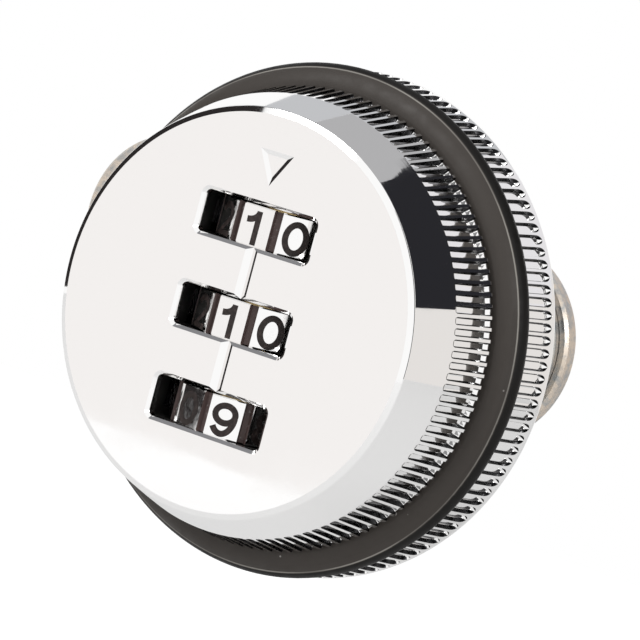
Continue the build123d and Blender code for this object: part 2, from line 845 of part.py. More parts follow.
def make_rear_washer():
    """Split spring washer under the rear screw."""
    washer = rod_y(rear_washer_radius, cam_rear_y, rear_washer_end_y)
    washer -= rod_y(rear_screw_radius + 2 * square_clearance, cam_rear_y - 1, rear_washer_end_y + 1)
    half = rear_washer_split / 2
    return washer - block(0, 2 * rear_washer_radius, cam_rear_y - 1, rear_washer_end_y + 1, -half, half)


def make_rear_screw():
    end = rear_washer_end_y + rear_screw_head
    head = hexagon_y(rear_screw_flats, rear_washer_end_y, end)
    corner = rear_screw_flats / math.sqrt(3)
    flat = rear_screw_flats / 2
    drop = (corner - flat) * nut_chamfer_share
    seat = rear_washer_end_y
    head &= turned([(0, seat), (corner, seat), (corner, end - drop), (flat, end), (0, end)])
    return head + rod_y(rear_screw_radius, spindle_end_y - rear_screw_depth, rear_washer_end_y)


parts = {
    "knob_shell": make_knob_shell,
    "dial_carrier": make_dial_carrier,
    "dial_axle": make_dial_axle,
    "detent_spring": make_detent_spring,
    "knob_screws": make_knob_screws,
    "drive_spindle": make_drive_spindle,
    "hub_pin": make_hub_pin,
    "cam_plate": make_cam_plate,
    "rear_washer": make_rear_washer,
    "rear_screw": make_rear_screw,
    "locking_slide": make_locking_slide,
    "slide_pin": make_slide_pin,
    "rear_flange": make_rear_flange,
    "rubber_ring": make_rubber_ring,
    "guide_plate": make_guide_plate,
    "guide_plate_screws": make_guide_plate_screws,
    "barrel": make_barrel,
    "panel_washer": make_panel_washer,
    "panel_nut": make_panel_nut,
    "thrust_washer": make_thrust_washer,
}

os.makedirs("parts", exist_ok=True)
for node, maker in parts.items():
    export_step(maker(), f"parts/{node}.step")
for name in dial_heights:
    export_step(make_dial(name), f"parts/dial_{name}.step")
    export_step(make_sleeve(name), f"parts/code_sleeve_{name}.step")
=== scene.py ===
import json
import math

import bmesh
import bpy
from bpy.props import FloatProperty, FloatVectorProperty, IntProperty, PointerProperty
from mathutils import Matrix, Vector

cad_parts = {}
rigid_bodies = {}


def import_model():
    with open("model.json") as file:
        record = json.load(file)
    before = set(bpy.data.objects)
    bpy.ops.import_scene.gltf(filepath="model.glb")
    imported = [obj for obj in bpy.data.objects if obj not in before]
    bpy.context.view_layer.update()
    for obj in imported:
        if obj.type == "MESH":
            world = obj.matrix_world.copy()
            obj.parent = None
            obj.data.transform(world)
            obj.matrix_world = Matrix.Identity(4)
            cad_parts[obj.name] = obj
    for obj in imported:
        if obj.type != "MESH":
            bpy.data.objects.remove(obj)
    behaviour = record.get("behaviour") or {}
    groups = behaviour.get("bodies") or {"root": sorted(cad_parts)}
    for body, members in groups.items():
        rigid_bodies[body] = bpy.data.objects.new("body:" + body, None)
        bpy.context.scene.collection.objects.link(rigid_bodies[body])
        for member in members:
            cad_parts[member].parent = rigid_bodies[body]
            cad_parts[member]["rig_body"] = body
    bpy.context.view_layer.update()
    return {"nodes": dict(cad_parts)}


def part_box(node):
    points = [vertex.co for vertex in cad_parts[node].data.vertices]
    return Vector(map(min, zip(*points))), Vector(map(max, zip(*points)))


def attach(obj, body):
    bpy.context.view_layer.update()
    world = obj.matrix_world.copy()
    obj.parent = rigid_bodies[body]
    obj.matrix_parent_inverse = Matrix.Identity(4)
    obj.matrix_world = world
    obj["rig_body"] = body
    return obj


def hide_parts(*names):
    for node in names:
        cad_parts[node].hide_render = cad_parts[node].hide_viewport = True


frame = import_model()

bl_info = {
    "name": "Combination locker lock",
    "version": (1, 0, 0),
    "blender": (4, 5, 0),
    "location": "3D View > Sidebar > Locker Lock",
    "description": "Finishes and fine parts of a knob lock with three number dials",
    "category": "Object",
}

MM = 0.001
DIALS = ("top", "middle", "bottom")

# Camera of the photograph: its place, its three axes and its focal length in pixels of a 640 pixel frame
CAMERA_PLACE = (0.188810, -0.321517, 0.034018)
CAMERA_RIGHT = (0.8198329, 0.5116951, 0.2569867)
CAMERA_UP = (-0.2668234, -0.0557071, 0.9621341)
CAMERA_BACK = (0.5066353, -0.8573592, 0.0908617)
FOCAL_PIXELS = 4152.9
FRAME_PIXELS = 640
SENSOR = 36.0

# Places read from the solid parts
KNOB_LOW, KNOB_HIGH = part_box("knob_shell")
FLANGE_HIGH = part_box("rear_flange")[1]
BARREL_LOW, BARREL_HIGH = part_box("barrel")
FACE_Y = KNOB_LOW.y
KNOB_REAR_Y = KNOB_HIGH.y


def length(name, description, millimetres):
    """A size that the sidebar shows as a length."""
    return FloatProperty(
        name=name, description=description, default=millimetres * MM, unit="LENGTH", precision=5
    )


def colour(name, description, value):
    """A colour that the sidebar shows as a swatch."""
    return FloatVectorProperty(
        name=name, description=description, subtype="COLOR", size=3, min=0, max=1, default=value
    )


class LockSizes(bpy.types.PropertyGroup):
    """Sizes of the fine parts."""

    rib_count: IntProperty(
        name="Ribs", description="Ribs round the knob, and again round the flange", default=128, min=24
    )
    knob_crest: length("Knob rib crest", "Width of the flat on each rib of the knob", 0.29)
    knob_groove_radius: length("Knob groove radius", "Radius of the floors of the knob's grooves", 19.52)
    flange_crest: length("Flange rib crest", "Width of the flat on each rib of the flange", 0.24)
    flange_groove_depth: length("Flange groove depth", "Depth of the flange's grooves", 0.42)
    window_trim: length("Window trim", "How much nearer each end of a window stands", 0.22)
    mark_offset: length("Mark offset", "How far right of the middle the arrow and index lines stand", 0.3)
    digit_height: length("Digit height", "Height of the numbers on the dials", 3.04)
    digit_stroke: length("Digit stroke", "Width of the pen strokes of the numbers", 0.51)
    digit_drop: length("Digit drop", "How far the numbers stand under the middle of a dial", 0.16)
    digit_relief: length("Digit relief", "How far the enamel of a digit stands proud of its dial", 0.015)
    thread_pitch: length("Thread pitch", "Distance between two turns of the barrel's thread", 1.5)
    thread_depth: length("Thread depth", "Depth of the barrel's thread", 0.45)


class LockColours(bpy.types.PropertyGroup):
    """Colours of the finishes and of the stage."""

    chrome: colour("Chrome", "Bright plate of the knob, the flange and the dials", (0.96, 0.955, 0.95))
    # Painted shade: dark colour of the grooves' walls, standing in for the shade between the ribs
    groove_shade_colour: colour("Groove sides", "Dark walls of the grooves between the ribs", (0.03, 0.03, 0.032))
    enamel: colour("Enamel", "Black fill of the digits", (0.018, 0.013, 0.012))
    groove_fill: colour("Groove fill", "Brown black fill of the dial grooves", (0.085, 0.058, 0.054))
    rubber: colour("Rubber", "Band between the knob and the flange", (0.030, 0.026, 0.023))
    zinc: colour("Zinc", "Plate of the cam, screws and washers", (0.60, 0.57, 0.53))
    blue_zinc: colour("Blue zinc", "Plate of the barrel and its nut", (0.66, 0.71, 0.74))
    brass: colour("Brass", "Code sleeves and locking slide", (0.72, 0.55, 0.28))
    casting: colour("Casting", "Blackened core inside the knob", (0.018, 0.017, 0.016))
    floor: colour("Floor", "Plain floor under the lock", (0.80, 0.80, 0.80))


class Layout:
    """Short calls for laying out nodes in one tree."""

    def __init__(self, tree):
        self.tree = tree

    def add(self, kind, inputs=None, **settings):
        node = self.tree.nodes.new(kind)
        for key, value in settings.items():
            setattr(node, key, value)
        for key, value in (inputs or {}).items():
            self.feed(value, node.inputs[key])
        return node

    def feed(self, value, socket):
        if isinstance(value, bpy.types.NodeSocket):
            self.tree.links.new(value, socket)
        elif value is not None:
            socket.default_value = value

    def math(self, operation, *values):
        node = self.add("ShaderNodeMath", operation=operation)
        for value, socket in zip(values, node.inputs):
            self.feed(value, socket)
        return node.outputs[0]

    def vector(self, x, y, z):
        return self.add("ShaderNodeCombineXYZ", {0: x, 1: y, 2: z}).outputs[0]

    def parts(self, vector):
        return self.add("ShaderNodeSeparateXYZ", {0: vector}).outputs

    def span(self, value, low, high, start=0.0, end=1.0):
        """Value eased from low..high to start..end, held past both ends."""
        node = self.add("ShaderNodeMapRange", interpolation_type="SMOOTHSTEP")
        for entry, socket in zip((value, low, high, start, end), node.inputs):
            self.feed(entry, socket)
        return node.outputs[0]

    def blend(self, factor, first, second):
        """Colour mixed between two colours."""
        node = self.add("ShaderNodeMix", data_type="RGBA")
        self.feed(factor, node.inputs["Factor"])
        for entry, name in ((first, "A_Color"), (second, "B_Color")):
            socket = next(s for s in node.inputs if s.identifier == name)
            self.feed(with_alpha(entry), socket)
        return next(s for s in node.outputs if s.identifier == "Result_Color")

    def noise(self, vector, scale, detail=3.0, roughness=0.5):
        settings = {"Vector": vector, "Scale": scale, "Detail": detail, "Roughness": roughness}
        return self.add("ShaderNodeTexNoise", settings).outputs[0]


def with_alpha(value):
    """Colour with its fourth channel, or a socket as it is."""
    if isinstance(value, bpy.types.NodeSocket) or len(value) == 4:
        return value
    return (*value, 1.0)


class Finish(Layout):
    """One material on object coordinates."""

    def __init__(self, name, base, metallic, roughness):
        self.material = bpy.data.materials.new(name)
        self.material.use_nodes = True
        super().__init__(self.material.node_tree)
        self.shader = self.tree.nodes["Principled BSDF"]
        self.feed(with_alpha(base), self.shader.inputs["Base Color"])
        self.feed(metallic, self.shader.inputs["Metallic"])
        self.feed(roughness, self.shader.inputs["Roughness"])
        self.place = self.add("ShaderNodeTexCoord").outputs["Object"]

    def stretched(self, x, y, z):
        """Object coordinates scaled along each axis."""
        return self.add("ShaderNodeMapping", {"Vector": self.place, "Scale": (x, y, z)}).outputs[0]

    def set(self, name, value):
        self.feed(value, self.shader.inputs[name])

    def bump(self, height, distance):
        node = self.add("ShaderNodeBump", {"Height": height, "Distance": distance})
        if self.shader.inputs["Normal"].is_linked:
            self.feed(self.shader.inputs["Normal"].links[0].from_socket, node.inputs["Normal"])
        self.feed(node.outputs[0], self.shader.inputs["Normal"])


# Heights of the faint waves and polishing rings in the chrome
CHROME_WAVE = 4.0e-6
CHROME_RING = 8.0e-7


def chrome_finish(name, base):
    """Bright plate: nearly a mirror, with faint waves and polishing rings about the lock's axis."""
    finish = Finish(name, base, 1.0, 0.04)
    smudge = finish.noise(finish.place, 220.0, 4.0, 0.6)
    finish.set("Roughness", finish.span(smudge, 0.35, 0.75, 0.025, 0.07))
    finish.bump(finish.noise(finish.place, 150.0, 1.0), CHROME_WAVE)
    finish.bump(finish.noise(finish.stretched(60.0, 2600.0, 60.0), 1.0, 2.0), CHROME_RING)
    return finish.material


def painted_groove_shade_finish(name, base):
    """Plate on the walls of the grooves, painted dark as painted shade for the grooves between the ribs, its
    tone varied at random.
    """
    finish = Finish(name, base, 1.0, 0.3)
    tone = finish.noise(finish.place, 1200.0, 3.0, 0.6)
    finish.set("Base Color", finish.blend(finish.span(tone, 0.35, 0.7), base, [2.5 * c for c in base]))
    finish.set("Roughness", finish.span(tone, 0.3, 0.7, 0.22, 0.38))
    return finish.material


def dial_finish(name, base):
    """Bright plate of the dials, a little worn."""
    finish = Finish(name, base, 1.0, 0.08)
    rub = finish.noise(finish.place, 900.0, 3.0, 0.6)
    finish.set("Roughness", finish.span(rub, 0.3, 0.7, 0.04, 0.13))
    finish.bump(finish.noise(finish.place, 700.0, 2.0), 3.0e-6)
    return finish.material


def groove_finish(name, fill):
    """Brown black fill of a dial's grooves with a few bare specks."""
    finish = Finish(name, fill, 0.0, 0.45)
    speck = finish.noise(finish.place, 3000.0, 3.0, 0.7)
    bare = finish.span(speck, 0.62, 0.72, 0.0, 0.35)
    finish.set("Base Color", finish.blend(bare, fill, (0.6, 0.58, 0.56)))
    finish.set("Specular IOR Level", 0.3)
    finish.bump(speck, 1.0e-5)
    return finish.material


def enamel_finish(name, base):
    """Black enamel with a soft shine and small pits."""
    finish = Finish(name, base, 0.0, 0.35)
    grain = finish.noise(finish.place, 2600.0, 3.0, 0.6)
    finish.set("Base Color", finish.blend(finish.span(grain, 0.4, 0.8), base, [3.0 * c for c in base]))
    finish.set("Roughness", finish.span(grain, 0.3, 0.7, 0.35, 0.55))
    finish.set("Specular IOR Level", 0.25)
    finish.bump(grain, 1.2e-5)
    return finish.material


# Where the rubber's front, painted lighter as painted light, ends and its rear, painted dark as painted
# shade, begins
RUBBER_SHOULDER = -6.3 * MM


def rubber_finish(name, base):
    """Moulded rubber: front painted lighter as painted light, rear painted dark as painted shade, a painted
    highlight line between them, faint rings and dust.
    """
    finish = Finish(name, base, 0.0, 0.45)
    y = finish.parts(finish.place)["Y"]
    grain = finish.noise(finish.place, 700.0, 4.0, 0.6)
    rings = finish.noise(finish.stretched(40.0, 1500.0, 40.0), 1.0, 3.0, 0.6)
    # Painted light and shade: the front is painted lighter and the rear painted dark
    painted_light_front = finish.span(y, RUBBER_SHOULDER - 0.02 * MM, RUBBER_SHOULDER + 0.12 * MM, 1.0, 0.0)
    tone = finish.math("MULTIPLY", painted_light_front, finish.math("ADD", 0.75, finish.math("MULTIPLY", rings, 0.5)))
    body = finish.blend(tone, [0.18 * c for c in base], [1.7 * c for c in base])
    # Painted highlight: a light, patchy line along the rubber just ahead of the shoulder
    rise = finish.span(y, RUBBER_SHOULDER - 0.07 * MM, RUBBER_SHOULDER - 0.02 * MM)
    fall = finish.span(y, RUBBER_SHOULDER, RUBBER_SHOULDER + 0.04 * MM, 1.0, 0.0)
    patchy = finish.span(finish.noise(finish.place, 90.0, 2.0), 0.3, 0.6, 0.25, 0.9)
    painted_highlight = finish.math("MULTIPLY", finish.math("MULTIPLY", rise, fall), patchy)
    body = finish.blend(painted_highlight, body, (0.30, 0.285, 0.26))
    cells = finish.add("ShaderNodeTexVoronoi", {"Vector": finish.place, "Scale": 620.0})
    dust = finish.span(cells.outputs["Distance"], 0.05, 0.11, 1.0, 0.0)
    sparse = finish.span(finish.noise(finish.place, 260.0, 1.0), 0.56, 0.6)
    speck = finish.math("MULTIPLY", dust, sparse)
    finish.set("Base Color", finish.blend(speck, body, (0.42, 0.40, 0.38)))
    finish.set("Roughness", finish.span(grain, 0.3, 0.7, 0.42, 0.6))
    finish.set("Specular IOR Level", 0.2)
    finish.bump(grain, 1.5e-5)
    finish.bump(rings, 1.0e-5)
    return finish.material


def zinc_finish(name, base, roughness=0.3):
    """Zinc plate: mottled grains, slightly warm and cool by turns."""
    finish = Finish(name, base, 1.0, roughness)
    grains = finish.noise(finish.place, 900.0, 5.0, 0.65)
    warm = [c * w for c, w in zip(base, (1.18, 1.08, 0.98))]
    cool = [c * w for c, w in zip(base, (0.72, 0.76, 0.80))]
    finish.set("Base Color", finish.blend(finish.span(grains, 0.36, 0.62), cool, warm))
    finish.set("Roughness", finish.span(grains, 0.3, 0.7, roughness - 0.08, roughness + 0.12))
    finish.bump(finish.noise(finish.place, 1600.0, 4.0, 0.6), 1.0e-5)
    return finish.material


def turned_finish(name, base, axis, roughness=0.22):
    """Turned metal with fine tool marks across an axis."""
    finish = Finish(name, base, 1.0, roughness)
    scale = [60.0] * 3
    scale[axis] = 5200.0
    marks = finish.noise(finish.stretched(*scale), 1.0, 3.0, 0.6)
    tone = [c * 0.82 for c in base]
    finish.set("Base Color", finish.blend(finish.span(marks, 0.35, 0.65), tone, base))
    finish.set("Roughness", finish.span(marks, 0.3, 0.7, roughness - 0.05, roughness + 0.1))
    finish.bump(marks, 4.0e-6)
    return finish.material


def casting_finish(name, base):
    """Blackened casting with a fine grain."""
    finish = Finish(name, base, 0.3, 0.55)
    grain = finish.noise(finish.place, 1500.0, 4.0, 0.6)
    finish.set("Base Color", finish.blend(finish.span(grain, 0.4, 0.75), base, [2.2 * c for c in base]))
    finish.set("Roughness", finish.span(grain, 0.3, 0.7, 0.45, 0.7))
    finish.bump(grain, 2.0e-5)
    return finish.material


def dress(node, material):
    """Give a solid part its finish."""
    mesh = frame["nodes"][node].data
    mesh.materials.clear()
    mesh.materials.append(material)


def body_of(node):
    """Body that carries a solid part."""
    return frame["nodes"][node]["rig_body"]


def as_mesh(shape, name):
    """Turn an edited shape into a mesh."""
    mesh = bpy.data.meshes.new(name)
    shape.to_mesh(mesh)
    shape.free()
    return mesh


def new_piece(name, mesh, *materials):
    """Mesh as a piece at the origin, with its materials in order."""
    piece = bpy.data.objects.new(name, mesh)
    bpy.context.scene.collection.objects.link(piece)
    for material in materials:
        mesh.materials.append(material)
    return piece


def flattened(piece):
    """Apply what a piece's modifiers make, and take them off."""
    graph = bpy.context.evaluated_depsgraph_get()
    mesh = bpy.data.meshes.new_from_object(
        piece.evaluated_get(graph), preserve_all_data_layers=True, depsgraph=graph
    )
    piece.modifiers.clear()
    old = piece.data
    piece.data = mesh
    bpy.data.meshes.remove(old)
    return piece


def merged_copy(node):
    """Copy of a solid part's mesh with its loose corners joined."""
    shape = bmesh.new()
    shape.from_mesh(frame["nodes"][node].data)
    bmesh.ops.remove_doubles(shape, verts=shape.verts, dist=WELD)
    return shape


def geometry_tree(name, sockets):
    """Geometry node tree with named inputs. Returns its layout, its input node and the identifiers."""
    tree = bpy.data.node_groups.new(name, "GeometryNodeTree")
    tree.interface.new_socket(name="Geometry", in_out="OUTPUT", socket_type="NodeSocketGeometry")
    names = {}
    for label, kind in sockets:
        made = tree.interface.new_socket(name=label, in_out="INPUT", socket_type=kind)
        names[label] = made.identifier
    layout = Layout(tree)
    return layout, layout.add("NodeGroupInput").outputs, names


# Mark on the faces of a groove's walls, which take a finish of their own, painted dark as painted shade
SIDE_LAYER = "side"
# Least depth of a groove, and least step of its depth share across a face, that make a wall
SIDE_DEPTH = 0.05 * MM
SIDE_STEP = 0.08
# Corners nearer than this are joined
WELD = 1.0e-6


def end_tree(layout, geometry, material, side_material=None):
    """Realize what was repeated, set its material, and that of marked faces, and close the tree."""
    real = layout.add("GeometryNodeRealizeInstances", {"Geometry": geometry})
    joined = layout.add("GeometryNodeMergeByDistance", {"Geometry": real.outputs[0], "Distance": WELD})
    painted = layout.add("GeometryNodeSetMaterial", {"Geometry": joined.outputs[0], "Material": material})
    if side_material is not None:
        marked = layout.add("GeometryNodeInputNamedAttribute", {"Name": SIDE_LAYER}, data_type="BOOLEAN")
        sides = {"Geometry": painted.outputs[0], "Selection": marked.outputs[0], "Material": side_material}
        painted = layout.add("GeometryNodeSetMaterial", sides)
    end = layout.add("NodeGroupOutput")
    layout.feed(painted.outputs[0], end.inputs[0])
    return layout.tree


def grown(name, tree, names, values):
    """Piece made by a geometry node tree with these inputs."""
    piece = new_piece(name, bpy.data.meshes.new(name))
    modifier = piece.modifiers.new(name, "NODES")
    modifier.node_group = tree
    for label, value in values.items():
        modifier[names[label]] = value
    return flattened(piece)


def ring_tree():
    """Tree that turns one segment round the lock's axis."""
    sockets = [
        ("Segment", "NodeSocketObject"),
        ("Count", "NodeSocketInt"),
        ("Material", "NodeSocketMaterial"),
        ("Side Material", "NodeSocketMaterial"),
    ]
    layout, given, names = geometry_tree("Ring of segments", sockets)
    segment = layout.add("GeometryNodeObjectInfo", {"Object": given["Segment"]})
    points = layout.add("GeometryNodePoints", {"Count": given["Count"]})
    placed = layout.add(
        "GeometryNodeInstanceOnPoints", {"Points": points.outputs[0], "Instance": segment.outputs["Geometry"]}
    )
    index = layout.add("GeometryNodeInputIndex").outputs[0]
    share = layout.math("DIVIDE", index, given["Count"])
    turn = layout.vector(0.0, layout.math("MULTIPLY", share, math.tau), 0.0)
    turned = layout.add("GeometryNodeRotateInstances", {"Instances": placed.outputs[0], "Rotation": turn})
    turned.inputs["Local Space"].default_value = False
    return end_tree(layout, turned.outputs[0], given["Material"], given["Side Material"]), names


def rib_segment(name, count, across, rows):
    """One groove with half a rib each side, at +X. Rows give (y, land radius, depth, width share)."""
    shape = bmesh.new()
    step = math.tau / count
    lines = []
    for y, radius, depth, share in rows:
        line = []
        for place, drop in across:
            inner = abs(place) < 0.5 * step
            angle = place * (share if inner else 1.0)
            at = radius - depth * drop
            line.append(shape.verts.new((at * math.cos(angle), y, at * math.sin(angle))))
        lines.append(line)
    side = shape.faces.layers.bool.new(SIDE_LAYER)
    deep = [min(near[2], far[2]) > SIDE_DEPTH for near, far in zip(rows, rows[1:])]
    for near, far, walled in zip(lines, lines[1:], deep):
        for i in range(len(across) - 1):
            face = shape.faces.new((near[i], near[i + 1], far[i + 1], far[i]))
            face[side] = walled and abs(across[i + 1][1] - across[i][1]) > SIDE_STEP
    return new_piece(name, as_mesh(shape, name))


def groove_across(count, radius, crest, profile):
    """Angles and depth shares across one pitch, from the middle of a rib to the next."""
    step = math.tau / count
    half = step * radius / 2
    edge = half - crest / 2
    side = [(place * edge / radius, drop) for place, drop in profile]
    left = [(-angle, drop) for angle, drop in reversed(side)]
    return [(-step / 2, 0.0)] + left + [pair for pair in side if pair[0] > 0] + [(step / 2, 0.0)]


def ribbed_ring(name, sizes, material, side, across, rows):
    """Full ring of ribs from one segment."""
    segment = rib_segment(f"{name}_segment", sizes.rib_count, across, rows)
    tree, names = ring_tree()
    values = {"Segment": segment, "Count": sizes.rib_count, "Material": material, "Side Material": side}
    ring = grown(name, tree, names, values)
    bpy.data.objects.remove(segment)
    return ring


def smooth(piece, angle):
    """Smooth shading with creases past an angle in degrees."""
    mesh = piece.data
    for name in ("custom_normal", "sharp_edge", "sharp_face"):
        if name in mesh.attributes:
            mesh.attributes.remove(mesh.attributes[name])
    mesh.polygons.foreach_set("use_smooth", [True] * len(mesh.polygons))
    mesh.set_sharp_from_angle(angle=math.radians(angle))


# Creases of the pieces, in degrees
KNOB_CREASE = 22
FLANGE_CREASE = 32
BARREL_CREASE = 28
DIAL_CREASE = 20
# Half a groove across: share of the way from its middle to its edge, share of its depth
KNOB_GROOVE = ((0.0, 1.0), (0.40, 1.0), (0.66, 0.98), (0.72, 0.92), (0.88, 0.50), (1.0, 0.0))
FLANGE_GROOVE = ((0.0, 1.0), (0.40, 1.0), (0.68, 0.98), (0.74, 0.92), (0.89, 0.50), (1.0, 0.0))
# Front ends of the knob's grooves: distance behind the band's end, shares of full depth and width
KNOB_END = ((0.04, 0.0, 0.3), (0.07, 0.55, 0.62), (0.15, 0.82, 0.84), (0.3, 1.0, 1.0), (0.33, 1.0, 1.0))
# Rear ends of the flange's grooves: distance behind FLANGE_GROOVE_END, shares of full depth and width
FLANGE_END = (
    (0.0, 1.0, 1.0),
    (0.35, 1.0, 0.97),
    (0.65, 1.0, 0.84),
    (0.85, 0.95, 0.62),
    (0.97, 0.6, 0.34),
    (1.03, 0.0, 0.1),
)
# Width share of the rows that have no groove
KNOB_PLAIN = 0.10
FLANGE_PLAIN = 0.08
FACE_RADIUS = 18.0 * MM
FACE_EDGE_RUN = 0.5 * MM
FACE_EDGE_DROP = 0.25 * MM
# How far the outside reaches in under the face, and how deep
FACE_LAP = 0.1 * MM
FACE_LAP_DEPTH = 0.001 * MM
# Small flat that breaks the edge between the face's bevel and the band: distances back and out
EDGE_BREAK = ((0.07 * MM, 0.06 * MM), (0.09 * MM, 0.068 * MM))
# Rise of the plain band, and the row just ahead of its end that holds its shading straight
BAND_SLOPE = 0.376
BAND_SUPPORT = 0.05 * MM
BAND_END_Y = -12.3 * MM
BAND_END_RADIUS = 19.6 * MM
KNOB_BORE_RADIUS = 16.8 * MM
KNOB_REAR_EDGE = 0.3 * MM
# Floors of the knob's grooves rise by this share
FLOOR_SLOPE = 0.10
# Rim that closes the grooves at the rear: distance ahead of the rear face, drop, groove depth left
KNOB_REAR = (
    (0.34, 0.0, None),
    (0.31, 0.0, None),
    (0.20, 0.0, 0.30),
    (0.16, 0.02, 0.26),
    (0.05, 0.15, 0.12),
    (0.0, 0.28, 0.02),
)
FLANGE_GROOVE_END = -2.0 * MM
FLANGE_FRONT_RADIUS = 22.5 * MM
FLANGE_FRONT_Y = -4.8 * MM
FLANGE_RIM_ROUND = 0.6 * MM
# Turns of the rows over the rounded rim, in degrees
FLANGE_RIM_TURNS = (0, 22, 45, 68, 90)
# The solid's own ribs lie within this of the flange's front radius
FLANGE_GROOVE_ROOM = 0.5 * MM
# Slack in telling which faces of the solid lie outside
FACE_SLACK = 0.02 * MM
REAR_SLACK = 0.001 * MM
# A face counts as flat to the front or rear when its normal is at least this much along the axis
FLAT_NORMAL = 0.99


def knob_rib_rows(floor_radius):
    """Rows of the knob's outside, from the face's rim over the plain band and the ribs to the bore."""
    rear_radius = KNOB_HIGH.x
    edge_y = KNOB_REAR_Y - KNOB_REAR_EDGE
    slope = (rear_radius - BAND_END_RADIUS) / (edge_y - BAND_END_Y)
    rim = FACE_RADIUS - FACE_EDGE_RUN
    plain = [
        (FACE_Y + FACE_LAP_DEPTH, rim - FACE_LAP),
        (FACE_Y, rim),
        (FACE_Y + FACE_EDGE_DROP, FACE_RADIUS),
        *((FACE_Y + FACE_EDGE_DROP + back, FACE_RADIUS + out) for back, out in EDGE_BREAK),
        (BAND_END_Y - BAND_SUPPORT, BAND_END_RADIUS - BAND_SLOPE * BAND_SUPPORT),
        (BAND_END_Y, BAND_END_RADIUS),
    ]
    rows = [(y, radius, 0.0, KNOB_PLAIN) for y, radius in plain]
    for behind, share, width in KNOB_END:
        land = BAND_END_RADIUS + slope * behind * MM
        floor = floor_radius + FLOOR_SLOPE * behind * MM
        rows.append((BAND_END_Y + behind * MM, land, (land - floor) * share, width))
    for ahead, drop, left in KNOB_REAR:
        y = KNOB_REAR_Y - ahead * MM
        land = BAND_END_RADIUS + slope * (min(y, edge_y) - BAND_END_Y) - drop * MM
        floor = floor_radius + FLOOR_SLOPE * (y - BAND_END_Y)
        rows.append((y, land, land - floor if left is None else left * MM, 1.0))
    rows.append((KNOB_REAR_Y, KNOB_BORE_RADIUS, 0.0, 1.0))
    return rows


def flange_rib_rows(depth):
    """Rows of the flange's ribs, from its front edge over the plain rim to its rear face."""
    rear_radius = FLANGE_HIGH.x
    slope = (rear_radius - FLANGE_FRONT_RADIUS) / (-FLANGE_RIM_ROUND - FLANGE_FRONT_Y)
    rows = [(FLANGE_FRONT_Y, FLANGE_FRONT_RADIUS, depth, 1.0)]
    for behind, share, width in FLANGE_END:
        y = FLANGE_GROOVE_END + behind * MM
        rows.append((y, FLANGE_FRONT_RADIUS + slope * (y - FLANGE_FRONT_Y), depth * share, width))
    for turn in FLANGE_RIM_TURNS:
        angle = math.radians(turn)
        y = -FLANGE_RIM_ROUND * (1 - math.sin(angle))
        rows.append((y, rear_radius - FLANGE_RIM_ROUND * (1 - math.cos(angle)), 0.0, FLANGE_PLAIN))
    return rows


def without_ribs(node, is_rib):
    """Copy of a solid part's mesh with the faces of its ribs left out."""
    shape = merged_copy(node)
    gone = [face for face in shape.faces if is_rib(face)]
    bmesh.ops.delete(shape, geom=gone, context="FACES")
    return shape


def radius_of(corner):
    return math.hypot(corner.co.x, corner.co.z)


def is_knob_outside(face):
    """Faces outside the face's rim, and the flat ring at the rear."""
    rear = all(corner.co.y > KNOB_REAR_Y - REAR_SLACK for corner in face.verts)
    rim = FACE_RADIUS - FACE_EDGE_RUN - FACE_SLACK
    outer = all(radius_of(corner) > rim for corner in face.verts)
    return rear or (outer and abs(face.normal.y) < FLAT_NORMAL)


def is_flange_rib(face):
    """Faces of the grooves, lands and rounded rim, but not the flat front and rear."""
    floor = FLANGE_FRONT_RADIUS - FLANGE_GROOVE_ROOM
    return abs(face.normal.y) < FLAT_NORMAL and all(radius_of(corner) > floor for corner in face.verts)


def ribbed_piece(name, node, shape, ring, material, crease):
    """Join a part's plain faces and its ring of ribs in one piece that stands for the part."""
    finishes = list(ring.data.materials)
    for face in shape.faces:
        face.material_index = finishes.index(material)
    shape.from_mesh(ring.data)
    bpy.data.objects.remove(ring)
    piece = new_piece(name, as_mesh(shape, name), *finishes)
    smooth(piece, crease)
    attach(piece, body_of(node))
    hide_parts(node)


# Extents of the marks and windows in the face, in millimetres
ARROW_LOW = 11.3
ARROW_HALF = 1.8
LINE_HALF = 0.65
LINE_SPANS = ((1.2, 6.3), (-7.2, -2.3))
MARK_REACH = 0.5
# Corners of the index lines deeper than this are their floors
LINE_FLOOR = 0.25
WINDOW_HEIGHTS = (7.8, -0.6, -9.0)
WINDOW_REACH = 6.6
WINDOW_INNER = 5.4
WINDOW_HALF_REACH = 2.4
WALL_REACH = 1.1
# Share of the arrow's depth that is kept, and the depth of the index lines
ARROW_EASE = 0.67
LINE_DEPTH = 0.3 * MM


def settle_face(shape, sizes):
    """Trim the windows, ease the slopes of the index lines and the arrow, and set these beside the middle."""
    for corner in shape.verts:
        x, y, z = (value / MM for value in corner.co)
        depth = y - FACE_Y / MM
        in_arrow = z > ARROW_LOW and abs(x) < ARROW_HALF
        in_line = abs(x) < LINE_HALF and any(low < z < high for low, high in LINE_SPANS)
        if depth < MARK_REACH and (in_arrow or in_line):
            if in_arrow:
                corner.co.y = FACE_Y + depth * MM * ARROW_EASE
            if in_line and depth > LINE_FLOOR:
                corner.co.x = 0.0
                corner.co.y = FACE_Y + LINE_DEPTH
            corner.co.x += sizes.mark_offset
        beside = any(abs(z - centre) <= WINDOW_HALF_REACH for centre in WINDOW_HEIGHTS)
        if beside and depth <= WALL_REACH and WINDOW_INNER < abs(x) <= WINDOW_REACH:
            corner.co.x -= math.copysign(sizes.window_trim, x)


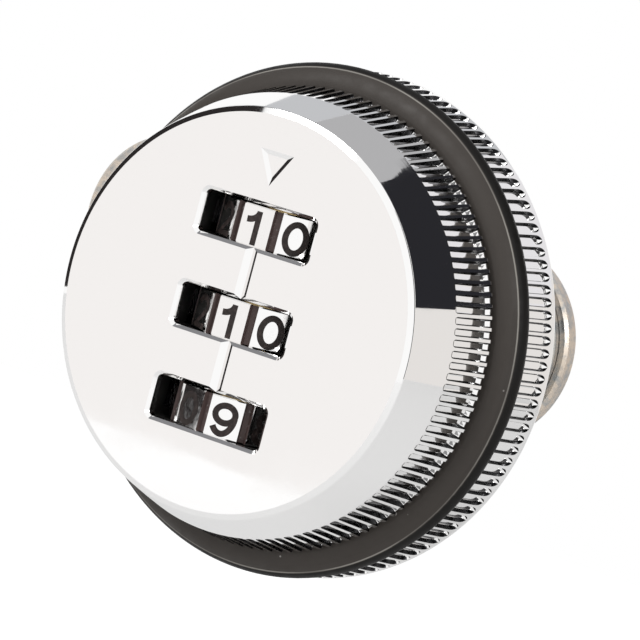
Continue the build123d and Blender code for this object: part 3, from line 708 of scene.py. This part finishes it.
class LOCK_OT_knob(bpy.types.Operator):
    """Build the chromed knob with its ribs"""

    bl_idname = "lock.knob"
    bl_label = "Knob"

    def execute(self, context):
        sizes = context.scene.lock_sizes
        chrome = chrome_finish("chrome_knob", context.scene.lock_colours.chrome)
        # The grooves' walls get a finish of painted shade
        side = painted_groove_shade_finish("knob_groove_sides", context.scene.lock_colours.groove_shade_colour)
        across = groove_across(sizes.rib_count, KNOB_HIGH.x, sizes.knob_crest, KNOB_GROOVE)
        rows = knob_rib_rows(sizes.knob_groove_radius)
        ring = ribbed_ring("knob_ribs", sizes, chrome, side, across, rows)
        shape = without_ribs("knob_shell", is_knob_outside)
        settle_face(shape, sizes)
        ribbed_piece("knob_chromed", "knob_shell", shape, ring, chrome, KNOB_CREASE)
        return {"FINISHED"}


class LOCK_OT_flange(bpy.types.Operator):
    """Build the chromed flange with its ribs and dress the rubber band"""

    bl_idname = "lock.flange"
    bl_label = "Flange and rubber band"

    def execute(self, context):
        sizes = context.scene.lock_sizes
        colours = context.scene.lock_colours
        chrome = chrome_finish("chrome_flange", colours.chrome)
        # The grooves' walls get a finish of painted shade
        side = painted_groove_shade_finish("flange_groove_sides", colours.groove_shade_colour)
        across = groove_across(sizes.rib_count, FLANGE_HIGH.x, sizes.flange_crest, FLANGE_GROOVE)
        rows = flange_rib_rows(sizes.flange_groove_depth)
        ring = ribbed_ring("flange_ribs", sizes, chrome, side, across, rows)
        shape = without_ribs("rear_flange", is_flange_rib)
        ribbed_piece("flange_chromed", "rear_flange", shape, ring, chrome, FLANGE_CREASE)
        dress("rubber_ring", rubber_finish("rubber", colours.rubber))
        return {"FINISHED"}


DIAL_AXIS = (-0.5 * MM, -10.35 * MM)
DIAL_RADIUS = 6.2 * MM
DIAL_STEP = math.tau / 10
# How much each end of a dial's rim moves out
DIAL_GROWTH = 0.06 * MM
# Depths that tell the outside of a dial and the grooves between its lands
DIAL_SKIN = 0.15 * MM
GROOVE_REACH = 0.55 * MM
# Half the angle of the flat land that carries a number
LAND_HALF = math.radians(12.45)
LAND_DROP = math.cos(LAND_HALF)
# Angle of the 0 from the front, towards +X
FIRST_ANGLES = {"top": 38.5, "middle": 38.5, "bottom": -16.2}
# Each further stroke of a number lies this much over the last
STROKE_LAYER = 0.002 * MM
# Edges of the strokes longer than this are split, to follow the dial
STROKE_EDGE = 0.4 * MM
STROKE_CUTS = 6


def arc(x, y, across, up, start, end):
    """Points of an elliptic arc, a point for each 9 degrees or so."""
    steps = max(3, round(abs(end - start) / 9))
    angles = [math.radians(start + (end - start) * i / steps) for i in range(steps + 1)]
    return [(x + across * math.cos(a), y + up * math.sin(a)) for a in angles]


# Height of the numbers that the lines below are drawn for, in millimetres
PATH_HEIGHT = 2.78
# Middle lines of the pen strokes of each number, in millimetres about its centre
DIGIT_PATHS = (
    (arc(0, 0, 0.84, 1.15, 0, 360),),
    ([(0.14, 1.38), (0.14, -1.38)], arc(-0.88, 1.30, 1.00, 0.72, 270, 352)),
    (arc(0, 0.46, 0.84, 0.69, 165, -32) + [(-0.84, -1.15), (0.96, -1.15)],),
    (arc(-0.04, 0.58, 0.76, 0.57, 150, -90), arc(-0.04, -0.55, 0.86, 0.60, 90, -150)),
    ([(0.36, -1.38), (0.36, 1.15), (-0.86, -0.50), (0.98, -0.50)],),
    ([(0.80, 1.15), (-0.62, 1.15), (-0.74, 0.12)] + arc(-0.04, -0.40, 0.86, 0.75, 138, -150),),
    (arc(0, -0.45, 0.84, 0.70, 0, 360), arc(0.10, -0.30, 0.94, 1.45, 180, 40)),
    ([(-0.86, 1.15), (0.84, 1.15), (-0.22, -1.38)],),
    (arc(0, 0.60, 0.72, 0.55, 0, 360), arc(0, -0.54, 0.84, 0.61, 0, 360)),
    (arc(0, 0.45, 0.84, 0.70, 0, 360), arc(-0.10, 0.30, 0.94, 1.45, 0, -140)),
)


def stroke_corners(path, half):
    """Left and right corners along a path, mitred at its bends."""
    closed = math.dist(path[0], path[-1]) < 1.0e-6
    corners = []
    for i, (x, y) in enumerate(path):
        before = path[i - 1] if i else (path[-2] if closed else path[0])
        after = path[i + 1] if i + 1 < len(path) else (path[1] if closed else path[-1])
        into = Vector((x - before[0], y - before[1])).normalized()
        onward = Vector((after[0] - x, after[1] - y)).normalized()
        way = (into + onward).normalized()
        side = Vector((-way.y, way.x)) * half / max(0.5, way.dot(onward if onward.length else into))
        corners.append(((x + side.x, y + side.y), (x - side.x, y - side.y)))
    return corners


def digit_strip(sizes):
    """Flat strip of the ten numbers side by side, one dial step apart, each stroke a hair over the last."""
    shape = bmesh.new()
    half = sizes.digit_stroke / MM / 2
    scale = sizes.digit_height / PATH_HEIGHT
    step = DIAL_STEP * DIAL_RADIUS
    for digit, paths in enumerate(DIGIT_PATHS):
        for layer, path in enumerate(paths):
            lines = []
            for pair in stroke_corners(path, half):
                spots = [(x * scale - digit * step, y * scale, layer * STROKE_LAYER) for x, y in pair]
                lines.append([shape.verts.new(spot) for spot in spots])
            for near, far in zip(lines, lines[1:]):
                shape.faces.new((near[0], near[1], far[1], far[0]))
    long_edges = [edge for edge in shape.edges if edge.calc_length() > STROKE_EDGE]
    bmesh.ops.subdivide_edges(shape, edges=long_edges, cuts=STROKE_CUTS, use_grid_fill=True)
    return new_piece("digit_strip", as_mesh(shape, "digit_strip"))


def digits_tree():
    """Tree that wraps the strip of numbers round a dial."""
    sockets = [
        ("Strip", "NodeSocketObject"),
        ("Radius", "NodeSocketFloat"),
        ("Land", "NodeSocketFloat"),
        ("Relief", "NodeSocketFloat"),
        ("First Angle", "NodeSocketFloat"),
        ("Centre", "NodeSocketVector"),
        ("Material", "NodeSocketMaterial"),
    ]
    layout, given, names = geometry_tree("Digits round a dial", sockets)
    strip = layout.add("GeometryNodeObjectInfo", {"Object": given["Strip"]})
    place = layout.parts(layout.add("GeometryNodeInputPosition").outputs[0])
    turn = layout.math("DIVIDE", place[0], given["Radius"])
    angle = layout.math("ADD", turn, given["First Angle"])
    steps = layout.math("DIVIDE", turn, DIAL_STEP)
    off = layout.math("MULTIPLY", layout.math("SUBTRACT", steps, layout.math("ROUND", steps)), DIAL_STEP)
    flat = layout.math("ADD", given["Land"], layout.math("ADD", place[2], given["Relief"]))
    reach = layout.math("DIVIDE", flat, layout.math("COSINE", off))
    x = layout.math("MULTIPLY", reach, layout.math("SINE", angle))
    y = layout.math("MULTIPLY", layout.math("MULTIPLY", reach, layout.math("COSINE", angle)), -1.0)
    spot = layout.vector(x, y, place[1])
    wrapped = layout.add(
        "GeometryNodeSetPosition", {"Geometry": strip.outputs["Geometry"], "Position": spot}
    )
    centred = layout.add(
        "GeometryNodeTransform", {"Geometry": wrapped.outputs[0], "Translation": given["Centre"]}
    )
    return end_tree(layout, centred.outputs[0], given["Material"]), names


def flat_dial(node, dial, plate, fill):
    """Copy of a dial with ten flat lands, its grooves filled, that stands for the dial."""
    shape = merged_copy(node)
    middle = Vector((DIAL_AXIS[0], DIAL_AXIS[1]))
    level = sum(corner.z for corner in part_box(node)) / 2
    outer = {v for v in shape.verts if (v.co.xy - middle).length > DIAL_RADIUS - DIAL_SKIN}
    for face in shape.faces:
        inside = [v for v in face.verts if v not in outer]
        deep = all((v.co.xy - middle).length > DIAL_RADIUS - GROOVE_REACH for v in face.verts)
        face.material_index = 1 if deep and inside and abs(face.normal.z) < 0.5 else 0
    for corner in outer:
        spoke = corner.co.xy - middle
        angle = math.atan2(spoke.x, -spoke.y) - math.radians(FIRST_ANGLES[dial])
        off = angle - DIAL_STEP * round(angle / DIAL_STEP)
        share = LAND_DROP / math.cos(min(abs(off), LAND_HALF))
        corner.co.xy = middle + spoke * share
        corner.co.z += math.copysign(DIAL_GROWTH, corner.co.z - level)
    name = f"{node}_plated"
    piece = new_piece(name, as_mesh(shape, name), plate, fill)
    smooth(piece, DIAL_CREASE)
    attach(piece, body_of(node))
    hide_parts(node)


class LOCK_OT_dials(bpy.types.Operator):
    """Dress the number dials and inlay their digits"""

    bl_idname = "lock.dials"
    bl_label = "Number dials"

    def execute(self, context):
        sizes = context.scene.lock_sizes
        colours = context.scene.lock_colours
        enamel = enamel_finish("enamel", colours.enamel)
        plate = dial_finish("dial_plate", colours.chrome)
        fill = groove_finish("groove_fill", colours.groove_fill)
        tree, names = digits_tree()
        strip = digit_strip(sizes)
        for dial in DIALS:
            node = f"dial_{dial}"
            ring_low, ring_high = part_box(node)
            centre = Vector((DIAL_AXIS[0], DIAL_AXIS[1], (ring_low.z + ring_high.z) / 2))
            flat_dial(node, dial, plate, fill)
            values = {
                "Strip": strip,
                "Radius": DIAL_RADIUS,
                "Land": DIAL_RADIUS * LAND_DROP,
                "Relief": sizes.digit_relief,
                "First Angle": math.radians(FIRST_ANGLES[dial]),
                "Centre": centre - Vector((0.0, 0.0, sizes.digit_drop)),
                "Material": enamel,
            }
            digits = grown(f"digits_{dial}", tree, names, values)
            if len(digits.data.polygons) == 0:
                raise RuntimeError(f"no numbers were made for the {dial} dial")
            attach(digits, body_of(node))
        bpy.data.objects.remove(strip)
        return {"FINISHED"}


THREAD_END = 22.0 * MM
THREAD_MARGIN = 0.6 * MM
THREAD_RUN_IN = 0.8 * MM
THREAD_RUN_OUT = 1.5 * MM
# Depth share over one pitch of the thread
THREAD_FORM = (0.0, 0.0, 0.5, 1.0, 1.0, 0.5)
FLAT_HALF = 8.0 * MM
FLATS_START = 0.6 * MM
NOSE_RADIUS = 9.0 * MM
NOSE_CHAMFER = 0.5 * MM
RELIEF_RADIUS = 8.8 * MM
BORE_RADIUS = 4.0 * MM
FRONT_BORE_RADIUS = 4.25 * MM
# Outline of the barrel from its thread's end over the nose and back through the bore: y, radius
BARREL_OUTLINE = (
    (THREAD_END, RELIEF_RADIUS),
    (THREAD_END + 0.8 * MM, RELIEF_RADIUS),
    (THREAD_END + 1.0 * MM, NOSE_RADIUS),
    (BARREL_HIGH.y - NOSE_CHAMFER, NOSE_RADIUS),
    (BARREL_HIGH.y, NOSE_RADIUS - NOSE_CHAMFER),
    (BARREL_HIGH.y, BORE_RADIUS),
    (2.0 * MM, BORE_RADIUS),
    (1.9 * MM, FRONT_BORE_RADIUS),
    (BARREL_LOW.y, FRONT_BORE_RADIUS),
)
# Corners round the barrel
AROUND = 144
# Gap that keeps the thread's first and last rows off their neighbours
ROW_GAP = 0.01 * MM


def threaded_barrel(sizes):
    """Barrel with its thread, two flats, relief, nose and bore."""
    shape = bmesh.new()
    form_rows = len(THREAD_FORM)
    count = int((THREAD_END - THREAD_MARGIN) / sizes.thread_pitch * form_rows)
    spacing = sizes.thread_pitch / form_rows
    crest = BARREL_HIGH.x
    rows = [[(BARREL_LOW.y, crest)] * AROUND, [(-ROW_GAP, crest)] * AROUND]
    for i in range(count + 1):
        row = []
        for k in range(AROUND):
            share = THREAD_FORM[i % form_rows]
            y = (i + k / AROUND * form_rows) * spacing
            fade = min(1.0, max(0.0, (THREAD_END - y) / THREAD_RUN_OUT), max(0.0, y / THREAD_RUN_IN))
            row.append((min(y, THREAD_END - ROW_GAP), crest - sizes.thread_depth * share * fade))
        rows.append(row)
    for y, radius in BARREL_OUTLINE:
        rows.append([(y, radius)] * AROUND)
    lines = []
    for row in rows:
        line = []
        for k, (y, radius) in enumerate(row):
            angle = math.tau * k / AROUND
            x = radius * math.cos(angle)
            z = radius * math.sin(angle)
            if y > FLATS_START:
                z = max(-FLAT_HALF, min(FLAT_HALF, z))
            line.append(shape.verts.new((x, y, z)))
        lines.append(line)
    lines.append(lines[0])
    for near, far in zip(lines, lines[1:]):
        for k in range(AROUND):
            after = (k + 1) % AROUND
            shape.faces.new((near[k], far[k], far[after], near[after]))
    bmesh.ops.remove_doubles(shape, verts=shape.verts, dist=WELD)
    bmesh.ops.recalc_face_normals(shape, faces=shape.faces)
    return as_mesh(shape, "barrel_threaded")


class LOCK_OT_barrel(bpy.types.Operator):
    """Cut the thread of the barrel and dress its nut and washers"""

    bl_idname = "lock.barrel"
    bl_label = "Barrel and nut"

    def execute(self, context):
        colours = context.scene.lock_colours
        zinc = zinc_finish("blue_zinc", colours.blue_zinc, 0.24)
        piece = new_piece("barrel_threaded", threaded_barrel(context.scene.lock_sizes), zinc)
        smooth(piece, BARREL_CREASE)
        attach(piece, body_of("barrel"))
        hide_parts("barrel")
        dress("panel_nut", zinc)
        dress("panel_washer", zinc_finish("zinc_washer", colours.zinc))
        dress("thrust_washer", turned_finish("turned_washer", (0.6, 0.6, 0.6), 1))
        return {"FINISHED"}


class LOCK_OT_cam(bpy.types.Operator):
    """Dress the cam, the spindle and the screw that holds them"""

    bl_idname = "lock.cam"
    bl_label = "Cam and spindle"

    def execute(self, context):
        colours = context.scene.lock_colours
        zinc = zinc_finish("zinc_cam", colours.zinc, 0.34)
        for node in ("cam_plate", "rear_screw", "rear_washer"):
            dress(node, zinc)
        dress("drive_spindle", turned_finish("turned_spindle", (0.58, 0.58, 0.57), 1))
        return {"FINISHED"}


class LOCK_OT_inside(bpy.types.Operator):
    """Dress the carrier, sleeves, slide, spring and small pins inside"""

    bl_idname = "lock.inside"
    bl_label = "Inside parts"

    def execute(self, context):
        colours = context.scene.lock_colours
        dress("dial_carrier", casting_finish("blackened_casting", colours.casting))
        brass = turned_finish("turned_brass", colours.brass, 2)
        for dial in DIALS:
            dress(f"code_sleeve_{dial}", brass)
        dress("locking_slide", turned_finish("milled_brass", colours.brass, 1, 0.3))
        steel = turned_finish("turned_steel", (0.6, 0.6, 0.6), 1)
        for node in ("dial_axle", "hub_pin", "slide_pin", "guide_plate", "detent_spring"):
            dress(node, steel)
        zinc = zinc_finish("zinc_screws", colours.zinc)
        for node in ("knob_screws", "guide_plate_screws"):
            dress(node, zinc)
        return {"FINISHED"}


def studio_world(ambient):
    """White for the camera and for metal and glass, an even grey for soft light."""
    world = bpy.data.worlds.new("studio")
    bpy.context.scene.world = world
    world.use_nodes = True
    layout = Layout(world.node_tree)
    rays = layout.add("ShaderNodeLightPath").outputs
    seen = layout.math("MAXIMUM", rays["Is Camera Ray"], rays["Is Glossy Ray"])
    seen = layout.math("MAXIMUM", seen, rays["Is Transmission Ray"])
    soft = (ambient, ambient, ambient)
    light = layout.blend(seen, soft, (1.0, 1.0, 1.0))
    layout.feed(light, world.node_tree.nodes["Background"].inputs["Color"])


def card_finish(name, shade):
    """Plain card that metal mirrors in one shade."""
    finish = Finish(name, (0.0, 0.0, 0.0), 0.0, 1.0)
    finish.set("Specular IOR Level", 0.0)
    finish.set("Emission Color", with_alpha(shade))
    finish.set("Emission Strength", 1.0)
    return finish.material


NEAR = 0.60
FAR = 0.66
# Columns of a card's faces, and the degrees of height that a row of them takes
CARD_COLUMNS = 24
CARD_ROW = 5
CARD_WELD = 1.0e-5
# Cards round the lock: name, distance, rows of height and two azimuths in degrees, shade
CARDS = (
    (
        "dark_card_right",
        NEAR,
        ((19, 92, 130), (34, 92, 140), (44, 92, 152), (52, 92, 170), (64, 92, 171)),
        (0.022, 0.022, 0.026),
    ),
    ("pale_card_right", FAR, ((-12, 84, 182), (19, 84, 182)), (0.80, 0.775, 0.755)),
    ("pale_card_behind", FAR, ((19, 126, 182), (46, 150, 182)), (0.80, 0.79, 0.81)),
    ("dark_card_left", NEAR, ((-9, -90, -50), (42, -90, -50)), (0.025, 0.022, 0.022)),
    ("dark_card_edge", NEAR, ((-45, 64, 80), (60, 64, 80)), (0.05, 0.048, 0.046)),
    ("grey_card_left", FAR, ((42, -118, -44), (74, -118, -44)), (0.24, 0.24, 0.25)),
    ("grey_card_back", FAR, ((30, -180, -118), (50, -180, -118)), (0.55, 0.56, 0.58)),
    ("grey_card_above", FAR, ((50, 92, 242), (86, 74, 242)), (0.45, 0.45, 0.46)),
    ("warm_card_front", NEAR, ((-9, -48, -10), (20, -48, -10)), (0.934, 0.912, 0.90)),
)


def add_card(name, distance, rows, shade):
    """Curved card round the lock. Rows give a height and two azimuths from the front, in degrees."""
    shape = bmesh.new()
    grid = []
    for (low, *low_sides), (high, *high_sides) in zip(rows, rows[1:]):
        steps = max(2, round(abs(high - low) / CARD_ROW))
        for step in range(steps + 1):
            share = step / steps
            height = math.radians(low + (high - low) * share)
            left, right = (a + (b - a) * share for a, b in zip(low_sides, high_sides))
            line = []
            for column in range(CARD_COLUMNS + 1):
                azimuth = math.radians(left + (right - left) * column / CARD_COLUMNS)
                out = distance * math.cos(height)
                spot = (out * math.sin(azimuth), -out * math.cos(azimuth), distance * math.sin(height))
                line.append(shape.verts.new(spot))
            grid.append(line)
    for low, high in zip(grid, grid[1:]):
        for i in range(CARD_COLUMNS):
            shape.faces.new((low[i], high[i], high[i + 1], low[i + 1]))
    bmesh.ops.remove_doubles(shape, verts=shape.verts, dist=CARD_WELD)
    card = new_piece(name, as_mesh(shape, name), card_finish(name, shade))
    card.visible_camera = False
    card.visible_diffuse = False
    card.visible_shadow = False


# Half side and level of the floor, and its glow to the camera and in reflections
FLOOR_HALF = 0.45
FLOOR_LEVEL = -0.08
FLOOR_SEEN = 0.45
FLOOR_MIRRORED = 0.02
# Soft light from all round
AMBIENT = 0.55
# Lamps: name, place, side and power
LAMPS = (
    ("key_lamp", (-0.35, -0.62, 0.62), 0.45, 4.5),
    ("fill_lamp", (0.75, -0.45, 0.35), 0.30, 2.0),
)


def floor_finish(base):
    """Pale floor that keeps a shadow, and shows white to the camera and pale in reflections."""
    finish = Finish("pale_floor", base, 0.0, 0.9)
    grain = finish.noise(finish.place, 40.0, 2.0)
    finish.set("Roughness", finish.span(grain, 0.3, 0.7, 0.85, 0.95))
    rays = finish.add("ShaderNodeLightPath").outputs
    seen = finish.math("MAXIMUM", rays["Is Camera Ray"], rays["Is Transmission Ray"])
    mirrored = finish.math("MULTIPLY", rays["Is Glossy Ray"], FLOOR_MIRRORED)
    glow = finish.math("MAXIMUM", finish.math("MULTIPLY", seen, FLOOR_SEEN), mirrored)
    finish.set("Emission Color", (1.0, 1.0, 1.0, 1.0))
    finish.set("Emission Strength", glow)
    return finish.material


def add_lamp(name, place, side, power):
    """Soft square lamp aimed at the lock."""
    data = bpy.data.lights.new(name, "AREA")
    data.size = side
    data.energy = power
    lamp = bpy.data.objects.new(name, data)
    lamp.location = place
    lamp.rotation_euler = (-Vector(place)).to_track_quat("-Z", "Y").to_euler()
    bpy.context.scene.collection.objects.link(lamp)


def add_camera():
    """Camera where the photograph was taken from."""
    data = bpy.data.cameras.new("camera")
    data.sensor_width = SENSOR
    data.lens = FOCAL_PIXELS / FRAME_PIXELS * SENSOR
    data.clip_start = 0.01
    data.clip_end = 20.0
    camera = bpy.data.objects.new("camera", data)
    turn = Matrix((CAMERA_RIGHT, CAMERA_UP, CAMERA_BACK)).transposed()
    camera.matrix_world = Matrix.Translation(CAMERA_PLACE) @ turn.to_4x4()
    bpy.context.scene.collection.objects.link(camera)
    bpy.context.scene.camera = camera


class LOCK_OT_stage(bpy.types.Operator):
    """Lay the floor, hang the lamps and set the camera"""

    bl_idname = "lock.stage"
    bl_label = "Stage"

    def execute(self, context):
        mesh = bpy.data.meshes.new("floor")
        signs = ((-1, -1), (1, -1), (1, 1), (-1, 1))
        corners = [(x * FLOOR_HALF, y * FLOOR_HALF, FLOOR_LEVEL) for x, y in signs]
        mesh.from_pydata(corners, [], [(0, 1, 2, 3)])
        floor = new_piece("floor", mesh, floor_finish(context.scene.lock_colours.floor))
        studio_world(AMBIENT)
        for card in CARDS:
            add_card(*card)
        for lamp in LAMPS:
            add_lamp(*lamp)
        add_camera()
        context.scene.view_settings.view_transform = "Standard"
        return {"FINISHED"}


class LOCK_PT_panel(bpy.types.Panel):
    """Sidebar panel that lists the lock's builders"""

    bl_idname = "LOCK_PT_panel"
    bl_label = "Locker Lock"
    bl_space_type = "VIEW_3D"
    bl_region_type = "UI"
    bl_category = "Locker Lock"

    def draw(self, context):
        for group in (context.scene.lock_sizes, context.scene.lock_colours):
            box = self.layout.box()
            for name in group.__annotations__:
                box.prop(group, name)
        for operator in BUILDERS:
            self.layout.operator(operator.bl_idname)


BUILDERS = (
    LOCK_OT_knob,
    LOCK_OT_flange,
    LOCK_OT_dials,
    LOCK_OT_barrel,
    LOCK_OT_cam,
    LOCK_OT_inside,
    LOCK_OT_stage,
)
CLASSES = (LockSizes, LockColours, *BUILDERS, LOCK_PT_panel)


def register():
    for item in CLASSES:
        bpy.utils.register_class(item)
    bpy.types.Scene.lock_sizes = PointerProperty(type=LockSizes)
    bpy.types.Scene.lock_colours = PointerProperty(type=LockColours)


def unregister():
    del bpy.types.Scene.lock_colours
    del bpy.types.Scene.lock_sizes
    for item in reversed(CLASSES):
        bpy.utils.unregister_class(item)


def main():
    register()
    for item in BUILDERS:
        group, name = item.bl_idname.split(".")
        getattr(getattr(bpy.ops, group), name)()


if __name__ == "__main__":
    main()
